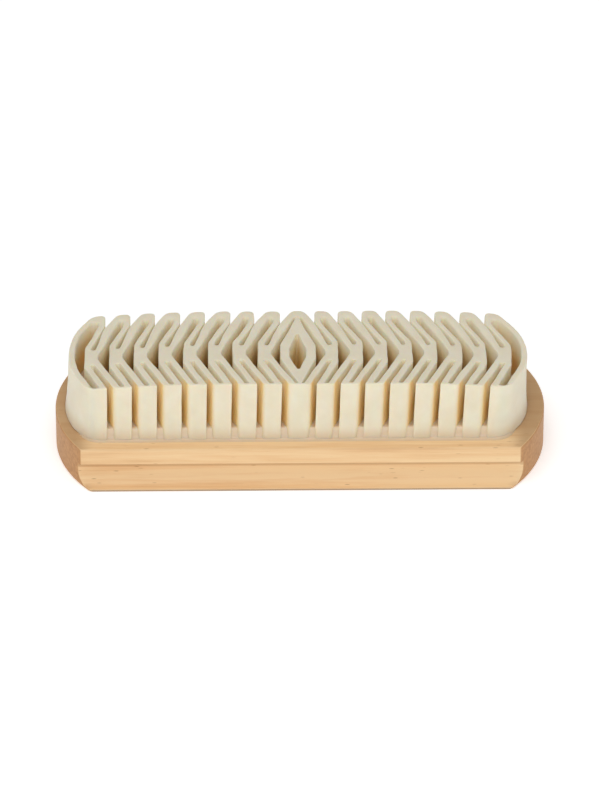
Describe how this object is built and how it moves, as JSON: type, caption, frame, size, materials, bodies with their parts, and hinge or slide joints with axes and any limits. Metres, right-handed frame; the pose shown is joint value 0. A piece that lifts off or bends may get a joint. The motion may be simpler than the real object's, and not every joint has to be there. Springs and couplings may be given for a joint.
{
  "type": "suede brush",
  "caption": "Suede brush with a pad of expanded crepe rubber sheets standing in latex on a beech block with coved finger grips and curved ends.",
  "frame": {"origin": "middle of the block's flat hand side, in the plane it rests on", "axes": "+X along the block's length, +Z from the hand side to the rubber, -Y to the side with the closed front faces of the pad"},
  "size_m": [0.13, 0.0498, 0.0291],
  "materials": {
    "beech": "planed and sanded, bare, with fine pores and short dark flecks along the grain",
    "crepe": "natural pale crepe rubber, milky and slightly waxy",
    "latex": "dried latex cement, smooth where it pooled"
  },
  "bodies": {
    "root": {"beech_block": "beech", "latex_bed": "latex", "left_ring_sheet": "crepe", "right_ring_sheet": "crepe", "left_sheet_01": "crepe", "left_sheet_02": "crepe", "left_sheet_03": "crepe", "left_sheet_04": "crepe", "left_sheet_05": "crepe", "left_sheet_06": "crepe", "left_sheet_07": "crepe", "left_sheet_08": "crepe", "left_sheet_09": "crepe", "left_sheet_10": "crepe", "left_sheet_11": "crepe", "left_sheet_12": "crepe", "left_sheet_13": "crepe", "left_sheet_14": "crepe", "left_sheet_15": "crepe", "left_sheet_16": "crepe", "left_sheet_17": "crepe", "right_sheet_01": "crepe", "right_sheet_02": "crepe", "right_sheet_03": "crepe", "right_sheet_04": "crepe", "right_sheet_05": "crepe", "right_sheet_06": "crepe", "right_sheet_07": "crepe", "right_sheet_08": "crepe", "right_sheet_09": "crepe", "right_sheet_10": "crepe", "right_sheet_11": "crepe", "right_sheet_12": "crepe", "right_sheet_13": "crepe", "right_sheet_14": "crepe", "right_sheet_15": "crepe", "right_sheet_16": "crepe", "right_sheet_17": "crepe"}
  },
  "joints": []
}
